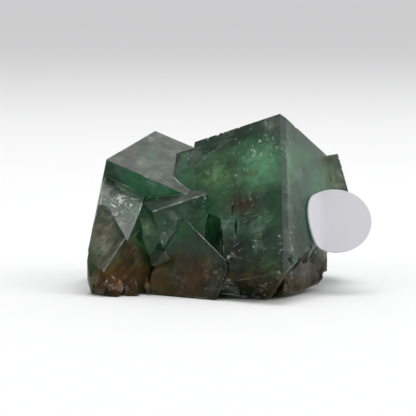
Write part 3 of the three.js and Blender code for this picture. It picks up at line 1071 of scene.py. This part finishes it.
@dataclass
class CrystalCluster:
    """The intergrown cubes and their broken foot, with edges bevelled for wear and for painted highlights.
    """

    node: str = "crystal_cluster"
    merge: float = 0.002 * MM
    knot: float = 0.15 * MM
    flat_angle: float = math.radians(0.6)
    shortest_edge: float = 0.5 * MM
    grown_cosine: float = 0.99
    room: float = 2.5

    def view(self) -> FrontView:
        """The front view, from the node's highest corner."""
        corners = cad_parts[self.node].data.vertices
        return FrontView(max((corner.co for corner in corners), key=lambda place: place.z).copy())

    def mark(self, mesh: bmesh.types.BMesh) -> None:
        """Marks the grown faces and the named ones.

        Args:
            mesh: The cluster's faces, in the row frame.
        """
        layers = {mark: mesh.faces.layers.float.new(mark.value) for mark in Mark}
        view = self.view().from_row()
        turn = view.to_3x3().normalized()
        axes = [axis for crystal in CRYSTALS for axis in crystal.frame().to_3x3().col]
        for face in mesh.faces:
            middle, normal = view @ face.calc_center_median(), turn @ face.normal
            straight = max(abs(normal.dot(axis)) for axis in axes)
            face[layers[Mark.GROWN]] = float(straight > self.grown_cosine)
            for named in NAMED_FACES:
                face[layers[named.mark]] = float(named.holds(middle, normal))

    def untie(self, mesh: bmesh.types.BMesh) -> None:
        """Merges the knots of tiny edges at the ends of the lines with painted highlights.

        Args:
            mesh: The cluster's faces, in the row frame.
        """
        view = self.view().to_row()
        ends = [view @ Vector(end) for line in PAINTED_HIGHLIGHT_LINES for end in (line.start, line.end)]
        gaps = {corner: min((corner.co - end).length for end in ends) for corner in mesh.verts}
        knots = [corner for corner, gap in gaps.items() if gap < self.knot]
        bmesh.ops.remove_doubles(mesh, verts=knots, dist=self.knot)

    def bends(self, line: bmesh.types.BMEdge, kind: EdgeWearAndHighlight, edge: Any, view: Matrix) -> bool:
        """Tells whether an edge is to be bevelled.

        Args:
            line: The edge.
            kind: How worn the edges of this round are.
            edge: The layer that marks faces made by a bevel.
            view: From the row frame to the front view.

        Returns:
            True for a long, sharp edge of this kind between two faces that no bevel made.
        """
        if not line.is_manifold or line.calc_length() < self.shortest_edge:
            return False
        around = (near.calc_length() for corner in line.verts for near in corner.link_edges)
        if min(around) < self.room * kind.width or any(face[edge] > 0 for face in line.link_faces):
            return False
        if line.calc_face_angle(0.0) < kind.angle:
            return False
        ends = [view @ corner.co for corner in line.verts]
        return kind is not EdgeWearAndHighlight.PAINTED_HIGHLIGHT or any(painted_highlight.holds(*ends) for painted_highlight in PAINTED_HIGHLIGHT_LINES)

    def build(self) -> bmesh.types.BMesh:
        """Merges the solid's triangles into faces, marks them and bevels the sharp edges.

        Returns:
            The mesh in the row frame.
        """
        mesh = bmesh.new()
        mesh.from_mesh(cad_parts[self.node].data)
        bmesh.ops.remove_doubles(mesh, verts=mesh.verts, dist=self.merge)
        self.untie(mesh)
        bmesh.ops.dissolve_limit(mesh, angle_limit=self.flat_angle, verts=mesh.verts, edges=mesh.edges)
        self.mark(mesh)
        edge = mesh.faces.layers.float[Mark.EDGE.value]
        view = self.view().from_row()
        for kind in EdgeWearAndHighlight:
            lines = [line for line in mesh.edges if self.bends(line, kind, edge, view)]
            strips = bmesh.ops.bevel(
                mesh,
                geom=lines,
                offset=kind.width,
                affect="EDGES",
                segments=1,
                profile=0.5,
                material=-1,
                clamp_overlap=False,
            )
            for face in strips["faces"]:
                face[edge] = kind.wear
            LOG.info("%s edges: %d", kind.name.lower(), len(lines))
        return mesh

    def dress(self, finish: FluoriteFinish) -> bpy.types.Object:
        """Gives the crystal its finish and its place in the frame.

        Args:
            finish: The crystal's look.

        Returns:
            The finished piece.
        """
        piece = mesh_object("fluorite_crystals", self.build(), finish.material(self.view()))
        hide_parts(self.node)
        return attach(piece, "root")


@dataclass
class PaperSticker:
    """The round sticker, tacked to the tall cube by one edge."""

    node: str = "paper_sticker"
    merge: float = 0.002 * MM

    def build(self) -> bmesh.types.BMesh:
        """Merges the solid's corners.

        Returns:
            The mesh in the row frame.
        """
        mesh = bmesh.new()
        mesh.from_mesh(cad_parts[self.node].data)
        bmesh.ops.remove_doubles(mesh, verts=mesh.verts, dist=self.merge)
        return mesh

    def dress(self, finish: PaperFinish) -> bpy.types.Object:
        """Gives the paper its finish and its place in the frame.

        Args:
            finish: The paper's look.

        Returns:
            The finished piece.
        """
        piece = mesh_object("round_sticker", self.build(), finish.material())
        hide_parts(self.node)
        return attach(piece, "root")


@dataclass(frozen=True)
class Lamp:
    """A square lamp: its side in metres, its power in watts and where it hangs."""

    name: str
    size: float
    power: float
    place: Triple

    def hang(self) -> None:
        """Hangs the lamp so that it shines on the cluster."""
        light = bpy.data.lights.new(self.name, "AREA")
        light.shape = "SQUARE"
        light.size = self.size
        light.energy = self.power
        lamp = bpy.data.objects.new(self.name, light)
        lamp.location = self.place
        lamp.rotation_mode = "QUATERNION"
        lamp.rotation_quaternion = (-lamp.location).to_track_quat("-Z", "Y")
        bpy.context.scene.collection.objects.link(lamp)


@dataclass
class Studio:
    """A pale floor under soft light, and the camera."""

    view: FrontView
    lens: float = 180.0
    distance: float = 325.0
    nearest: float = 0.01
    picture_middle: float = 13.9
    floor_reach: float = 30.0
    floor_sides: int = 96
    floor_drop: float = 0.2 * MM
    floor_tint: Triple = (0.84, 0.84, 0.84)
    floor_rough: float = 0.9
    bright_way: Triple = (0.58, 0.62, 0.53)
    bright_step: Span = (-0.4, 0.6)
    dim_sky: Triple = (0.17, 0.17, 0.18)
    bright_sky: Triple = (0.93, 0.93, 0.94)
    lamps: tuple[Lamp, ...] = (
        Lamp("soft_box", 0.5, 2.6, (0.05, 0.15, 0.75)),
        Lamp("left_window", 0.3, 0.6, (-0.45, -0.35, 0.40)),
        Lamp("right_window", 0.3, 0.4, (0.50, -0.10, 0.45)),
    )
    bounces: int = 16
    clear_bounces: int = 14
    brightest_bounce: float = 4.0
    gloss_blur: float = 4.0

    def floor(self) -> None:
        """Lays the floor."""
        mesh = bmesh.new()
        bmesh.ops.create_circle(mesh, cap_ends=True, segments=self.floor_sides, radius=self.floor_reach)
        bmesh.ops.translate(mesh, verts=mesh.verts, vec=(0, 0, -self.floor_drop))
        made, graph = empty_material("pale_floor")
        matt = graph.principled(self.floor_tint, self.floor_rough)
        graph.node("ShaderNodeOutputMaterial", {}, {"Surface": matt})
        mesh_object("pale_floor", mesh, made)

    def sky(self) -> None:
        """Fills the world with soft light, brightest behind and above the cluster."""
        world = bpy.data.worlds.new("soft_studio")
        bpy.context.scene.world = world
        world.use_nodes = True
        graph = Graph(world.node_tree)
        way = graph.node("ShaderNodeTexCoord", output="Generated")
        share = graph.ramp(graph.vector("DOT_PRODUCT", way, self.bright_way, "Value"), *self.bright_step)
        light = graph.blend(share, self.dim_sky, self.bright_sky)
        back = graph.node("ShaderNodeBackground", {}, {"Color": light, "Strength": 1.0})
        graph.node("ShaderNodeOutputWorld", {}, {"Surface": back})

    def camera(self) -> None:
        """Sets the camera where the front view was taken from."""
        data = bpy.data.cameras.new("front_camera")
        data.lens = self.lens
        data.clip_start = self.nearest
        camera = bpy.data.objects.new("front_camera", data)
        camera.location = self.view.to_row() @ Vector((0.0, -self.distance, self.picture_middle))
        camera.rotation_euler = Euler((math.pi / 2 - VIEW_DROP, 0.0, 0.0))
        bpy.context.scene.collection.objects.link(camera)
        bpy.context.scene.camera = camera

    def build(self) -> None:
        """Sets the whole studio up."""
        self.floor()
        self.sky()
        for lamp in self.lamps:
            lamp.hang()
        self.camera()
        scene = bpy.context.scene
        scene.view_settings.view_transform = "Standard"
        scene.cycles.max_bounces = self.bounces
        scene.cycles.transmission_bounces = self.clear_bounces
        scene.cycles.sample_clamp_indirect = self.brightest_bounce
        scene.cycles.blur_glossy = self.gloss_blur


def main() -> None:
    """Builds every piece in order."""
    logging.basicConfig(level=logging.INFO)
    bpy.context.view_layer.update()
    cluster = CrystalCluster()
    cluster.dress(FluoriteFinish())
    PaperSticker().dress(PaperFinish())
    Studio(cluster.view()).build()


if __name__ == "__main__":
    main()
